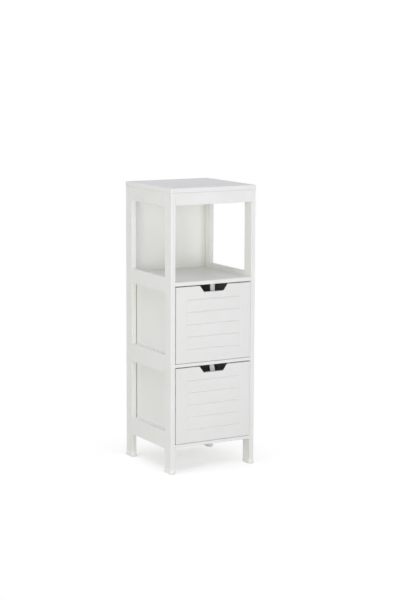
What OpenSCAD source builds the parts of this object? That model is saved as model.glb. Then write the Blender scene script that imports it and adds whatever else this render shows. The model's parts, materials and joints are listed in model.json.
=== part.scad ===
// Bathroom storage tower: an open compartment over two drawers, on four legs.
// Millimetres. +Z is up, the fronts face -Y, and the origin is on the floor at the centre.

/* [Overall] */
// Width over the posts
frame_w = 300; // [260:1:400]
// Depth over the posts
frame_d = 300; // [280:1:400]
// Height of the tower
tower_h = 890; // [820:1:1100]
// Height of the bottom board's underside over the floor
leg_clear = 83; // [60:1:140]
// Clear height of each drawer bay
bay_h = 242.5; // [200:0.5:260]

/* [Top board] */
// Thickness of the top board
top_t = 15; // [14:0.5:25]
// How far the top board stands out past the posts
top_over = 1; // [0.5:0.5:8]
// Radius of the top board's upper edge
top_edge_r = 2; // [1:0.5:9]
// Radius of the top board's lower edge
top_lower_r = 2; // [0.5:0.5:4]
// Radius of the top board's corners seen from above
top_corner_r = 2.5; // [1:0.5:10]

/* [Frame] */
// Thickness of posts, side rails and cross rails
frame_t = 15; // [14:0.5:20]
// Width of a post seen from the side
post_w = 41; // [38:0.5:55]
// Radius of the posts' outer edges
post_r = 2; // [0.5:0.25:4]
// Height of the front apron and the rear top rail
apron_h = 38; // [34:0.5:60]
// Height of the side top rails
top_rail_h = 43; // [40:0.5:60]
// Height of the side rails beside the shelf
shelf_rail_h = 47.5; // [42:0.5:60]
// How far the shelf rails rise over the shelf
shelf_rail_lip = 13.5; // [5:0.5:20]
// Height of the side rails beside the middle board
middle_rail_h = 56; // [46:0.5:70]
// How far the middle rails rise over the middle board
middle_rail_lip = 25.5; // [14:0.5:30]
// Height of the side rails beside the bottom board
bottom_rail_h = 55; // [50:0.5:70]
// How far the bottom rails rise over the bottom board
bottom_rail_lip = 37.5; // [20:0.5:38]
// Radius of the long edges of rails and boards
edge_r = 1.2; // [0.5:0.1:2]

/* [Boards and panels] */
// Thickness of the shelf board
shelf_t = 12.5; // [12:0.5:18]
// Thickness of the middle board
middle_t = 10.5; // [10.5:0.5:16]
// Thickness of the bottom board
bottom_t = 10.5; // [10.5:0.5:16]
// Thickness of the back panel and the side panels
panel_t = 3; // [2.5:0.5:4]
// Distance from the posts' rear face to the back panel's front face
back_inset = 12; // [8:0.5:20]
// Depth of the posts' grooves for the back panel
back_groove_d = 6; // [4:0.5:8]
// Gap between the back panel and the front wall of the posts' grooves
back_groove_gap = 2; // [0.2:0.2:2.4]
// Gap between the side frames and the side panels
panel_gap = 2.5; // [0.5:0.5:3]
// Depth of the boards' grooves for the side panels
panel_groove_d = 2.5; // [2:0.25:2.5]
// Clearance of a panel in its groove
panel_fit = 0.2; // [0.1:0.1:0.4]
// How far a side panel reaches behind the posts
panel_lap = 16; // [6:1:24]

/* [Drawers] */
// Thickness of the drawer fronts
front_t = 12; // [12:0.5:18]
// Gap beside a drawer front
front_side_gap = 1.7; // [1.4:0.1:3]
// Gap over a drawer front
front_top_gap = 2.9; // [1.5:0.1:4]
// Gap under a drawer front
front_bottom_gap = 1.2; // [0.6:0.1:2]
// How far the drawers sit to the right of the middle of their bays
drawer_shift = 1; // [0:0.1:1.2]
// Radius of the edges of a drawer front's face
front_edge_r = 0.75; // [0.5:0.25:3]
// Thickness of the drawers' sides and backs
box_t = 12; // [12:0.5:15]
// Gap between the drawer box's upper edge and the board over it
box_top_gap = 20.2; // [16:0.1:40]
// Gap between the drawer box and its guide strips
box_side_gap = 1.5; // [1.4:0.1:3]
// Gap between a closed drawer's back and the back panel, which stops it
box_rear_gap = 0.5; // [0.3:0.1:5]
// Running gap under the drawer box
box_bottom_gap = 0.3; // [0.2:0.1:0.5]
// Thickness of the drawer bottoms
drawer_bottom_t = 3; // [2.5:0.5:4]
// Height of the drawer bottom's groove over the box's lower edge
drawer_bottom_z = 8; // [5:1:20]
// Depth of the grooves that hold the drawer bottom
drawer_groove_d = 5; // [3:0.5:6]

/* [Drawer front face] */
// Width of the grip cut-out at the top edge
grip_top_w = 98; // [80:1:130]
// Width of the grip cut-out at its bottom
grip_bottom_w = 69; // [45:1:75]
// Depth of the grip cut-out
grip_d = 20.5; // [16:0.5:30]
// Radius of the grip cut-out's upper corners
grip_top_r = 4; // [1:0.5:8]
// Radius of the grip cut-out's lower corners
grip_bottom_r = 3; // [1:0.5:6]
// Number of grooves in a drawer front
groove_count = 5; // [3:1:6]
// Distance between the grooves
groove_pitch = 38.7; // [30:0.1:39]
// Width of a groove
groove_w = 3.8; // [2:0.1:5]
// Depth of a groove
groove_d = 2; // [0.8:0.1:3]
// Length of the grooves
groove_l = 190; // [120:1:200]
// Depth of the upright lines at the grooves' ends
end_line_d = 0.7; // [0.3:0.1:1.5]
// Width of the upright lines at the grooves' ends
end_line_w = 2; // [1:0.1:4]

/* [Guides and stops] */
// Width of a guide strip
guide_w = 4.5; // [4:0.5:8]
// Height of a guide strip
guide_h = 12; // [8:1:20]
// Distance from a guide strip's end to the bay's front and to the back panel
guide_end_gap = 20; // [12:1:40]
// Width of a drawer stop
stop_w = 15; // [15:0.5:24]
// How far a drawer stop reaches below the drawer box's upper edge, to catch its back
stop_catch = 11.8; // [8:0.1:14]
// Wall thickness of a drawer stop
stop_t = 2; // [2:0.5:4]
// Depth of the two ribs on the stop's front
stop_rib_d = 2; // [1:0.5:4]
// Width of the ribs
stop_rib_w = 3.4; // [2:0.2:4]
// Length of the stop's base under the board
stop_base_l = 26; // [24:1:34]
// Size of the gusset behind the stop's tab
stop_gusset = 6; // [4:1:8]
// Thickness of the gusset
gusset_t = 2; // [1:0.2:2.4]
// Gap between a drawer front and the stop's ribs
stop_gap = 2.7; // [0.7:0.2:4.1]
// How far the upper drawer's stop sits to the right of the middle
upper_stop_x = 5; // [-10:0.5:10]
// How far the lower drawer's stop sits to the right of the middle
lower_stop_x = 3.5; // [-10:0.5:10]

/* [Foot caps] */
// Height of a foot cap
cap_h = 18; // [14:1:30]
// Thickness of a foot cap's floor
cap_floor = 3; // [2:0.5:5]
// Wall of a foot cap's sleeve
cap_wall = 1; // [0.8:0.1:2]
// Height of a foot cap's wider base
cap_base_h = 8; // [5:0.5:12]
// How far the base stands out past the sleeve
cap_base_out = 1.2; // [0.4:0.1:3]
// Clearance of a foot cap round its post
cap_fit = 0.2; // [0.1:0.1:0.3]
// Radius of a foot cap's outer edges
cap_r = 1.4; // [0.5:0.1:2.5]

/* [Dowels] */
// Diameter of the dowels in the frame
dowel_d = 6; // [5:0.5:8]
// Length of the dowels between posts and side rails
dowel_l = 28; // [20:1:36]
// Distance between the two dowels of a side rail's end
dowel_pitch = 22; // [14:1:24]
// Length of the dowels in the cross rails
cross_dowel_l = 20; // [16:1:24]
// Height of the lower cross rail dowel over the rail's underside
cross_dowel_z = 6.5; // [5:0.5:8]
// Distance between the two dowels of a cross rail's end
cross_dowel_pitch = 13; // [10:0.5:14]
// How deep a dowel goes into a face
dowel_face_d = 8; // [6:0.5:10]
// How deep the top board's dowels go into the posts
top_dowel_d = 13; // [8:0.5:13]
// Diameter of the dowels in boards and drawers
board_dowel_d = 5; // [4:0.5:5]
// Length of the dowels in boards and drawers
board_dowel_l = 24; // [18:1:30]
// Distance of the board dowels from the middle
board_dowel_y = 60; // [30:1:70]

/* [Cam fittings] */
// Diameter of a cam disc
cam_d = 12; // [10:0.5:14]
// How far a cam disc's floor lies past the bolt's axis
cam_past_axis = 3.5; // [3:0.25:4]
// Distance of a cam's centre from the joint
cam_reach = 22; // [18:1:30]
// Length of the cross slot in a cam disc and a drawer screw
slot_l = 5; // [3:0.5:6]
// Width of the cross slots
slot_w = 1.2; // [0.8:0.1:1.6]
// Depth of the cross slots
slot_d = 1.2; // [0.6:0.1:1.6]
// Diameter of the thread and the head of a cam bolt
bolt_d = 5; // [4:0.5:5]
// Diameter of a cam bolt's neck
bolt_neck_d = 3; // [2:0.25:3.5]
// Length of a cam bolt's thread
bolt_thread_l = 8.5; // [6:0.5:10]
// Length of a cam bolt's head
bolt_head_l = 3; // [2:0.5:4]
// Clearance of a cam bolt in its bore
bolt_fit = 0.2; // [0.1:0.1:0.3]
// Distance of the cam fittings from the middle of the depth
cam_y = 85; // [76:1:90]
// Distance between the two cam fittings of a drawer side
box_cam_pitch = 140; // [60:1:150]

/* [Screws] */
// Diameter of the small screws
screw_d = 3; // [2.5:0.5:3.5]
// Head diameter of the small screws
screw_head_d = 5.6; // [5:0.2:6]
// Head height of the small screws
screw_head_h = 1.8; // [1.2:0.2:2.4]
// Length of the small screws under the head
screw_l = 9; // [7:0.5:9]
// Distance of the outer back panel screws from the middle
back_screw_x = 100; // [50:1:105]
// Diameter of the drawer screws
box_screw_d = 3.5; // [3:0.5:4]
// Length of the drawer screws
box_screw_l = 32; // [26:1:45]
// Distance between the two screws of a drawer side
box_screw_pitch = 120; // [60:1:150]
// Sideways distance of a stop's screws from its middle
stop_screw_x = 3.8; // [3.2:0.2:4.4]
// Distance of a stop's screws behind its tab
stop_screw_y = 14; // [8:1:18]

/* [Hidden] */

$fn = 48;
LEFT = -1;
RIGHT = 1;
FRONT = -1;
REAR = 1;
SIDES = [LEFT, RIGHT];
ENDS = [FRONT, REAR];
ARC_STEPS = 6;
eps = 1;

LACQUER = [0.90, 0.91, 0.90];
BOX = [0.86, 0.86, 0.84];
HARDBOARD = [0.84, 0.85, 0.83];
PLASTIC = [0.93, 0.93, 0.93];
STOP_PLASTIC = [0.78, 0.80, 0.81];
BEECH = [0.82, 0.67, 0.47];
ZINC = [0.66, 0.67, 0.69];
STEEL = [0.74, 0.75, 0.77];

// Frame planes
outer_x = frame_w / 2;
inner_x = outer_x - frame_t;
mid_x = outer_x - frame_t / 2;
outer_y = frame_d / 2;
post_y = outer_y - post_w / 2;
rail_y = outer_y - post_w;
back_y = outer_y - back_inset;
panel_x = inner_x - panel_gap;

// Levels
frame_top = tower_h - top_t;
bottom_z = leg_clear;
lower_bay_z = bottom_z + bottom_t;
middle_z = lower_bay_z + bay_h;
upper_bay_z = middle_z + middle_t;
shelf_z = upper_bay_z + bay_h;
shelf_top = shelf_z + shelf_t;
apron_z = frame_top - apron_h;

// Each side rail's lower edge and height
RAILS = [
  [frame_top - top_rail_h, top_rail_h],
  [shelf_top + shelf_rail_lip - shelf_rail_h, shelf_rail_h],
  [upper_bay_z + middle_rail_lip - middle_rail_h, middle_rail_h],
  [lower_bay_z + bottom_rail_lip - bottom_rail_h, bottom_rail_h]
];

// Each board's lower face and thickness
BOARDS = [[shelf_z, shelf_t], [middle_z, middle_t], [bottom_z, bottom_t]];
CROSS_Y = [-(outer_y - frame_t / 2), back_y - frame_t / 2];

// Drawer box
front_h = bay_h - front_top_gap - front_bottom_gap;
front_w = 2 * (inner_x - front_side_gap);
guide_x = panel_x - panel_t;
box_x = guide_x - guide_w - box_side_gap;
box_front = -outer_y + front_t;
box_rear = back_y - box_rear_gap;
box_l = box_rear - box_front;
box_h = bay_h - box_bottom_gap - box_top_gap;
box_mid_z = box_bottom_gap + box_h / 2;
stop_y = box_front + stop_gap + stop_rib_d;
stop_h = box_top_gap + stop_catch;

// Each stop's board level and its distance to the right of the middle
STOPS = [[shelf_z, upper_stop_x], [middle_z, lower_stop_x]];

// ---------- Shapes ----------

// What is taken off a square corner at the origin to round it
module corner_waste(r) {
  difference() {
    translate([-eps, -eps]) square(r + eps);
    translate([r, r]) circle(r);
  }
}

// Rectangle with a radius for each corner, counter-clockwise from the origin
module rounded_rect(size, radii) {
  difference() {
    square(size);
    corner_waste(radii[0]);
    translate([size[0], 0]) mirror([1, 0]) corner_waste(radii[1]);
    translate(size) rotate(180) corner_waste(radii[2]);
    translate([0, size[1]]) mirror([0, 1]) corner_waste(radii[3]);
  }
}

// Bars with their section rounded: along X the section is drawn in YZ,
// along Y in XZ and along Z in XY
module bar_x(size, radii) {
  rotate([90, 0, 90]) linear_extrude(size[0]) rounded_rect([size[1], size[2]], radii);
}

module bar_y(size, radii) {
  translate([0, size[1], 0])
    rotate([90, 0, 0]) linear_extrude(size[1]) rounded_rect([size[0], size[2]], radii);
}

module bar_z(size, radii) {
  linear_extrude(size[2]) rounded_rect([size[0], size[1]], radii);
}

module rod_x(d, l) {
  rotate([0, 90, 0]) cylinder(d = d, h = l, center = true);
}

module rod_y(d, l) {
  rotate([90, 0, 0]) cylinder(d = d, h = l, center = true);
}

// Moves a shape drawn at +X, +Y to its side and end
module to_corner(side, end) {
  mirror([side < 0 ? 1 : 0, 0, 0]) mirror([0, end < 0 ? 1 : 0, 0]) children();
}

// V-groove along X in a face that looks to -Y, with the ends that a pointed cutter leaves
module v_groove(l, w, d) {
  mouth = w / 2 * (d + eps) / d;
  translate([-l / 2, 0, 0])
    rotate([90, 0, 90]) linear_extrude(l) polygon([[d, 0], [-eps, mouth], [-eps, -mouth]]);
  for (x = [-l / 2, l / 2])
    translate([x, d, 0]) rotate([90, 0, 0]) cylinder(r1 = 0, r2 = mouth, h = d + eps);
}

module cross_slot() {
  for (a = [0, 90])
    rotate(a) translate([-slot_l / 2, -slot_w / 2, -slot_d]) cube([slot_l, slot_w, slot_d + eps]);
}

// ---------- Fasteners ----------

// A cam joint is drawn with its joint face at z = 0. The bolt's thread is below it,
// and the cam disc sits above it in a board of thickness t, facing +X.
module cam_bolt() {
  translate([0, 0, -bolt_thread_l]) cylinder(d = bolt_d, h = bolt_thread_l);
  cylinder(d = bolt_neck_d, h = cam_reach);
  translate([0, 0, cam_reach - bolt_head_l / 2]) cylinder(d = bolt_d - 2 * bolt_fit, h = bolt_head_l);
}

module cam_bore() {
  translate([0, 0, -bolt_thread_l]) cylinder(d = bolt_d, h = bolt_thread_l + cam_reach);
}

module cam_blank(t, above) {
  translate([-cam_past_axis, 0, cam_reach])
    rotate([0, 90, 0]) cylinder(d = cam_d, h = cam_past_axis + t / 2 + above);
}

module cam_disc(t) {
  difference() {
    cam_blank(t, 0);
    cylinder(d = bolt_d, h = cam_reach + bolt_head_l / 2 + bolt_fit);
    translate([t / 2, 0, cam_reach]) rotate([0, 90, 0]) cross_slot();
  }
}

module cam_waste(t) {
  cam_bore();
  cam_blank(t, eps);
}

// Screws are drawn with the head's seat at z = 0 and the tip below
module pan_screw() {
  difference() {
    cylinder(d1 = screw_head_d, d2 = screw_head_d - screw_head_h, h = screw_head_h);
    translate([0, 0, screw_head_h]) scale(screw_head_d / (2 * slot_l)) cross_slot();
  }
  translate([0, 0, -screw_l]) cylinder(d = screw_d, h = screw_l);
}

module screw_bore() {
  translate([0, 0, -screw_l]) cylinder(d = screw_d, h = screw_l);
}

// Countersunk screw with its head flush at z = 0
module flush_screw_blank() {
  translate([0, 0, -box_screw_d / 2])
    cylinder(d1 = box_screw_d, d2 = 2 * box_screw_d, h = box_screw_d / 2);
  translate([0, 0, -box_screw_l]) cylinder(d = box_screw_d, h = box_screw_l - box_screw_d / 2);
}

module flush_screw() {
  difference() {
    flush_screw_blank();
    cross_slot();
  }
}

// ---------- Where the frame's fasteners go ----------

module side_dowels(side) {
  for (rail = RAILS, end = ENDS, k = [-0.5, 0.5])
    translate([side * mid_x, end * rail_y, rail[0] + rail[1] / 2 + k * dowel_pitch])
      rod_y(dowel_d, dowel_l);
}

module cross_dowels() {
  for (side = SIDES, y = CROSS_Y, k = [0, 1])
    translate([side * (inner_x + dowel_face_d - cross_dowel_l / 2), y,
               apron_z + cross_dowel_z + k * cross_dowel_pitch])
      rod_x(dowel_d, cross_dowel_l);
}

module top_dowels() {
  for (side = SIDES, end = ENDS)
    translate([side * mid_x, end * post_y, frame_top - top_dowel_d])
      cylinder(d = dowel_d, h = top_dowel_d + dowel_face_d);
}

module all_board_dowels() {
  for (b = BOARDS, side = SIDES, end = ENDS)
    translate([side * (inner_x + dowel_face_d - board_dowel_l / 2), end * board_dowel_y, b[0] + b[1] / 2])
      rod_x(board_dowel_d, board_dowel_l);
}

// Draws its child at each cam joint between a board and a side rail
module at_board_cams(z, t) {
  for (side = SIDES, end = ENDS)
    translate([side * inner_x, end * cam_y, z + t / 2]) rotate([0, 90, side > 0 ? 180 : 0]) children();
}

// Draws its child at each cam joint between the top board and a side top rail
module at_top_cams() {
  for (side = SIDES, end = ENDS)
    translate([side * mid_x, end * cam_y, frame_top])
      rotate(side > 0 ? [0, 180, 0] : [180, 0, 0]) children();
}

module at_back_screws() {
  levels = concat([for (b = BOARDS) b[0] + b[1] / 2], [apron_z + apron_h / 2]);
  for (z = levels, k = [-1, 0, 1])
    translate([k * back_screw_x, back_y + panel_t, z]) rotate([-90, 0, 0]) children();
}

module at_stop_screws() {
  for (stop = STOPS, k = [-1, 1])
    translate([stop[1] + k * stop_screw_x, stop_y + stop_t + stop_screw_y, stop[0] - stop_t])
      rotate([180, 0, 0]) children();
}

// ---------- Frame ----------

module top_board() {
  w = frame_w + 2 * top_over;
  d = frame_d + 2 * top_over;
  section = [top_lower_r, top_lower_r, top_edge_r, top_edge_r];
  color(LACQUER)
    difference() {
      translate([-w / 2, -d / 2, frame_top])
        intersection() {
          bar_x([w, d, top_t], section);
          bar_y([w, d, top_t], section);
          bar_z([w, d, top_t], [top_corner_r, top_corner_r, top_corner_r, top_corner_r]);
        }
      top_dowels();
      at_top_cams() cam_bore();
    }
}

// Front apron and rear top rail
module cross_rail(y) {
  color(LACQUER)
    difference() {
      translate([-inner_x, y - frame_t / 2, apron_z])
        bar_x([2 * inner_x, frame_t, apron_h], [edge_r, edge_r, 0, 0]);
      cross_dowels();
      at_back_screws() screw_bore();
    }
}

module post(side, end) {
  color(LACQUER)
    difference() {
      to_corner(side, end)
        translate([inner_x, rail_y, cap_floor])
          bar_z([frame_t, post_w, frame_top - cap_floor], [0, 0, post_r, post_r]);
      side_dowels(side);
      cross_dowels();
      top_dowels();
      if (end == REAR)
        to_corner(side, REAR)
          translate([inner_x - eps, back_y - back_groove_gap, bottom_z])
            cube([back_groove_d + eps, back_groove_gap + panel_t + panel_fit, frame_top - bottom_z + eps]);
    }
}

// The thicker part of a rail, which closes the gap between the rail and the side panel over a board
module panel_ledge(side, board_top, rail_top) {
  translate([side > 0 ? panel_x + panel_fit : -inner_x - edge_r, -rail_y, board_top])
    cube([panel_gap - panel_fit + edge_r, 2 * rail_y, rail_top - board_top]);
}

// A side rail. With board_top, it carries a ledge for the side panel over that board.
module side_rail(side, rail, board_top = 0) {
  color(LACQUER)
    difference() {
      union() {
        translate([side > 0 ? inner_x : -outer_x, -rail_y, rail[0]])
          bar_y([frame_t, 2 * rail_y, rail[1]], [edge_r, edge_r, edge_r, edge_r]);
        if (board_top > 0)
          panel_ledge(side, board_top, rail[0] + rail[1]);
      }
      side_dowels(side);
      all_board_dowels();
      for (b = BOARDS)
        at_board_cams(b[0], b[1]) cam_bore();
      at_top_cams() cam_waste(frame_t);
    }
}

// ---------- Boards and panels ----------

// Grooves for the side panels in the face at height z, cut upwards or downwards
module panel_grooves(z, up) {
  w = panel_t + panel_fit;
  for (side = SIDES)
    translate([side > 0 ? panel_x - w : -panel_x, -(rail_y + panel_lap), z - (up ? eps : panel_groove_d)])
      cube([w, rail_y + panel_lap + back_y + eps, panel_groove_d + eps]);
}

module board(b, groove_under, groove_over) {
  color(LACQUER)
    difference() {
      translate([-inner_x, -outer_y, b[0]])
        bar_x([2 * inner_x, outer_y + back_y, b[1]], [edge_r, 0, 0, edge_r]);
      if (groove_under)
        panel_grooves(b[0], true);
      if (groove_over)
        panel_grooves(b[0] + b[1], false);
      all_board_dowels();
      at_board_cams(b[0], b[1]) cam_waste(b[1]);
      at_back_screws() screw_bore();
      at_stop_screws() screw_bore();
    }
}

module back_panel() {
  half_w = inner_x + back_groove_d - panel_fit;
  color(HARDBOARD)
    difference() {
      translate([-half_w, back_y, bottom_z]) cube([2 * half_w, panel_t, frame_top - bottom_z]);
      at_back_screws() screw_bore();
    }
}

module side_panel(side, bay_z) {
  half_l = rail_y + panel_lap;
  color(HARDBOARD)
    translate([side > 0 ? panel_x - panel_t : -panel_x, -half_l, bay_z - panel_groove_d])
      cube([panel_t, 2 * half_l, bay_h + 2 * panel_groove_d - panel_fit]);
}

module drawer_guides(bay_z) {
  l = back_y - box_front - 2 * guide_end_gap;
  color(BEECH)
    for (side = SIDES)
      translate([side > 0 ? guide_x - guide_w : -guide_x, box_front + guide_end_gap, bay_z])
        bar_y([guide_w, l, guide_h], [0, 0, edge_r, edge_r]);
}

// Stop that hangs under a board: a ribbed tab, its base and a gusset between them
module drawer_stop(stop) {
  color(STOP_PLASTIC)
    difference() {
      translate([stop[1], stop_y, stop[0]]) {
        translate([-stop_w / 2, 0, -stop_h]) cube([stop_w, stop_t, stop_h]);
        translate([-stop_w / 2, 0, -stop_t]) cube([stop_w, stop_base_l, stop_t]);
        for (side = SIDES)
          translate([side * (stop_w - stop_rib_w) / 2 - stop_rib_w / 2, -stop_rib_d, -stop_h])
            cube([stop_rib_w, stop_rib_d + eps, stop_h]);
        translate([-gusset_t / 2, stop_t, -stop_t])
          rotate([90, 0, 90]) linear_extrude(gusset_t)
            polygon([[-eps, eps], [stop_gusset, eps], [stop_gusset, 0],
                     [0, -stop_gusset], [-eps, -stop_gusset]]);
      }
      at_stop_screws() screw_bore();
    }
}

// Block round the lower end of the right rear post, standing out past it on all sides
module foot_block(out, h, section) {
  w = frame_t + 2 * out;
  d = post_w + 2 * out;
  translate([inner_x - out, rail_y - out, 0])
    intersection() {
      bar_x([w, d, h], section);
      bar_y([w, d, h], section);
      bar_z([w, d, h], [cap_r, cap_r, post_r + out, post_r + out]);
    }
}

// Foot cap: a sleeve round the post on a wider base with rounded edges
module foot_cap(side, end) {
  sleeve_out = cap_fit + cap_wall;
  color(PLASTIC)
    to_corner(side, end)
      difference() {
        union() {
          foot_block(sleeve_out, cap_h, [cap_r, cap_r, 0, 0]);
          foot_block(sleeve_out + cap_base_out, cap_base_h, [cap_r, cap_r, cap_r, cap_r]);
        }
        translate([inner_x - cap_fit, rail_y - cap_fit, cap_floor])
          cube([frame_t + 2 * cap_fit, post_w + 2 * cap_fit, cap_h]);
      }
}

// ---------- Grouped fasteners of the frame ----------

module frame_dowels() {
  color(BEECH) {
    side_dowels(LEFT);
    side_dowels(RIGHT);
    cross_dowels();
    top_dowels();
  }
}

module board_dowels() {
  color(BEECH) all_board_dowels();
}

module frame_cam_bolts() {
  color(STEEL) {
    for (b = BOARDS)
      at_board_cams(b[0], b[1]) cam_bolt();
    at_top_cams() cam_bolt();
  }
}

module frame_cam_discs() {
  color(ZINC) {
    for (b = BOARDS)
      at_board_cams(b[0], b[1]) cam_disc(b[1]);
    at_top_cams() cam_disc(frame_t);
  }
}

module back_panel_screws() {
  color(STEEL) at_back_screws() pan_screw();
}

module stop_screws() {
  color(STEEL) at_stop_screws() pan_screw();
}

// ---------- Drawers ----------

// Draws its child in a drawer's own place: its bay's floor is at z = 0
module in_bay(bay_z) {
  translate([drawer_shift, 0, bay_z]) children();
}

// Draws its child at each cam joint between the front and a side
module at_box_cams() {
  for (side = SIDES, k = [-0.5, 0.5])
    translate([side * (box_x - box_t / 2), box_front, box_mid_z + k * box_cam_pitch])
      rotate([-90, side > 0 ? 180 : 0, 0]) children();
}

// Draws its child at each screw from a side into the back
module at_box_screws() {
  for (side = SIDES, k = [-0.5, 0.5])
    translate([side * box_x, box_rear - box_t / 2, box_mid_z + k * box_screw_pitch])
      rotate([0, side * 90, 0]) children();
}

module box_dowels() {
  for (side = SIDES) {
    translate([side * (box_x - box_t / 2), box_front - dowel_face_d + board_dowel_l / 2, box_mid_z])
      rod_y(board_dowel_d, board_dowel_l);
    translate([side * (box_x - box_t + dowel_face_d - board_dowel_l / 2), box_rear - box_t / 2, box_mid_z])
      rod_x(board_dowel_d, board_dowel_l);
  }
}

// The drawer bottom, or with grow its groove
module bottom_sheet(grow) {
  half_w = box_x - box_t + drawer_groove_d - panel_fit + grow;
  y = box_front - drawer_groove_d + panel_fit - grow;
  l = box_rear - box_t + drawer_groove_d - panel_fit + grow - y;
  translate([-half_w, y, box_bottom_gap + drawer_bottom_z])
    cube([2 * half_w, l, drawer_bottom_t + grow]);
}

module box_waste() {
  bottom_sheet(panel_fit);
  box_dowels();
  at_box_cams() cam_waste(box_t);
  at_box_screws() flush_screw_blank();
}

function arc(x, y, r, from, to) =
  [for (i = [0 : ARC_STEPS]) let (a = from + (to - from) * i / ARC_STEPS) [x + r * cos(a), y + r * sin(a)]];

// Right half of the grip cut-out, from its mouth down to its floor. A corner's arc starts
// a tangent's length from the sharp corner.
slant = atan((grip_top_w - grip_bottom_w) / 2 / grip_d);
tangent = tan((90 - slant) / 2);
grip_right = concat(
  [[grip_top_w / 2 + grip_top_r * tangent, eps]],
  arc(grip_top_w / 2 + grip_top_r * tangent, -grip_top_r, grip_top_r, 90, 180 - slant),
  arc(grip_bottom_w / 2 - grip_bottom_r * tangent, -grip_d + grip_bottom_r, grip_bottom_r, -slant, -90)
);
grip_left = [for (i = [len(grip_right) - 1 : -1 : 0]) [-grip_right[i][0], grip_right[i][1]]];

module grip_cut() {
  translate([0, box_front + eps, front_bottom_gap + front_h])
    rotate([90, 0, 0]) linear_extrude(front_t + 2 * eps) polygon(concat(grip_right, grip_left));
}

module groove_field() {
  span = (groove_count - 1) * groove_pitch;
  translate([0, -outer_y, front_bottom_gap + front_h / 2]) {
    for (i = [0 : groove_count - 1])
      translate([0, 0, i * groove_pitch - span / 2]) v_groove(groove_l, groove_w, groove_d);
    for (side = SIDES)
      translate([side * groove_l / 2, 0, 0]) rotate([0, 90, 0]) v_groove(span, end_line_w, end_line_d);
  }
}

module drawer_front(bay_z) {
  size = [front_w, front_t, front_h];
  color(LACQUER)
    in_bay(bay_z)
      difference() {
        translate([-front_w / 2, -outer_y, front_bottom_gap])
          intersection() {
            bar_x(size, [front_edge_r, 0, 0, front_edge_r]);
            bar_z(size, [front_edge_r, front_edge_r, 0, 0]);
          }
        grip_cut();
        groove_field();
        box_waste();
      }
}

module drawer_side(side, bay_z) {
  color(BOX)
    in_bay(bay_z)
      difference() {
        translate([side > 0 ? box_x - box_t : -box_x, box_front, box_bottom_gap])
          bar_y([box_t, box_l, box_h], [0, 0, edge_r, edge_r]);
        box_waste();
      }
}

module drawer_back(bay_z) {
  color(BOX)
    in_bay(bay_z)
      difference() {
        translate([-(box_x - box_t), box_rear - box_t, box_bottom_gap])
          bar_x([2 * (box_x - box_t), box_t, box_h], [0, 0, edge_r, edge_r]);
        box_waste();
      }
}

module drawer_bottom(bay_z) {
  color(HARDBOARD) in_bay(bay_z) bottom_sheet(0);
}

module drawer_cam_bolts(bay_z) {
  color(STEEL) in_bay(bay_z) at_box_cams() cam_bolt();
}

module drawer_cam_discs(bay_z) {
  color(ZINC) in_bay(bay_z) at_box_cams() cam_disc(box_t);
}

module drawer_dowels(bay_z) {
  color(BEECH) in_bay(bay_z) box_dowels();
}

module drawer_screws(bay_z) {
  color(STEEL) in_bay(bay_z) at_box_screws() flush_screw();
}

top_board();
cross_rail(CROSS_Y[0]);  // front_apron
cross_rail(CROSS_Y[1]);  // rear_top_rail
post(LEFT, FRONT);  // front_left_post
post(RIGHT, FRONT);  // front_right_post
post(LEFT, REAR);  // rear_left_post
post(RIGHT, REAR);  // rear_right_post
side_rail(LEFT, RAILS[0]);  // left_top_rail
side_rail(LEFT, RAILS[1]);  // left_shelf_rail
side_rail(LEFT, RAILS[2], upper_bay_z);  // left_middle_rail
side_rail(LEFT, RAILS[3], lower_bay_z);  // left_bottom_rail
side_rail(RIGHT, RAILS[0]);  // right_top_rail
side_rail(RIGHT, RAILS[1]);  // right_shelf_rail
side_rail(RIGHT, RAILS[2], upper_bay_z);  // right_middle_rail
side_rail(RIGHT, RAILS[3], lower_bay_z);  // right_bottom_rail
board(BOARDS[0], true, false);  // shelf_board
board(BOARDS[1], true, true);  // middle_board
board(BOARDS[2], false, true);  // bottom_board
back_panel();
side_panel(LEFT, upper_bay_z);  // upper_left_side_panel
side_panel(RIGHT, upper_bay_z);  // upper_right_side_panel
side_panel(LEFT, lower_bay_z);  // lower_left_side_panel
side_panel(RIGHT, lower_bay_z);  // lower_right_side_panel
drawer_guides(upper_bay_z);  // upper_drawer_guides
drawer_guides(lower_bay_z);  // lower_drawer_guides
drawer_stop(STOPS[0]);  // upper_drawer_stop
drawer_stop(STOPS[1]);  // lower_drawer_stop
foot_cap(LEFT, FRONT);  // front_left_foot_cap
foot_cap(RIGHT, FRONT);  // front_right_foot_cap
foot_cap(LEFT, REAR);  // rear_left_foot_cap
foot_cap(RIGHT, REAR);  // rear_right_foot_cap
frame_dowels();
board_dowels();
frame_cam_bolts();
frame_cam_discs();
back_panel_screws();
stop_screws();
drawer_front(upper_bay_z);  // upper_drawer_front
drawer_side(LEFT, upper_bay_z);  // upper_drawer_left_side
drawer_side(RIGHT, upper_bay_z);  // upper_drawer_right_side
drawer_back(upper_bay_z);  // upper_drawer_back
drawer_bottom(upper_bay_z);  // upper_drawer_bottom
drawer_cam_bolts(upper_bay_z);  // upper_drawer_cam_bolts
drawer_cam_discs(upper_bay_z);  // upper_drawer_cam_discs
drawer_dowels(upper_bay_z);  // upper_drawer_dowels
drawer_screws(upper_bay_z);  // upper_drawer_screws
drawer_front(lower_bay_z);  // lower_drawer_front
drawer_side(LEFT, lower_bay_z);  // lower_drawer_left_side
drawer_side(RIGHT, lower_bay_z);  // lower_drawer_right_side
drawer_back(lower_bay_z);  // lower_drawer_back
drawer_bottom(lower_bay_z);  // lower_drawer_bottom
drawer_cam_bolts(lower_bay_z);  // lower_drawer_cam_bolts
drawer_cam_discs(lower_bay_z);  // lower_drawer_cam_discs
drawer_dowels(lower_bay_z);  // lower_drawer_dowels
drawer_screws(lower_bay_z);  // lower_drawer_screws
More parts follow.
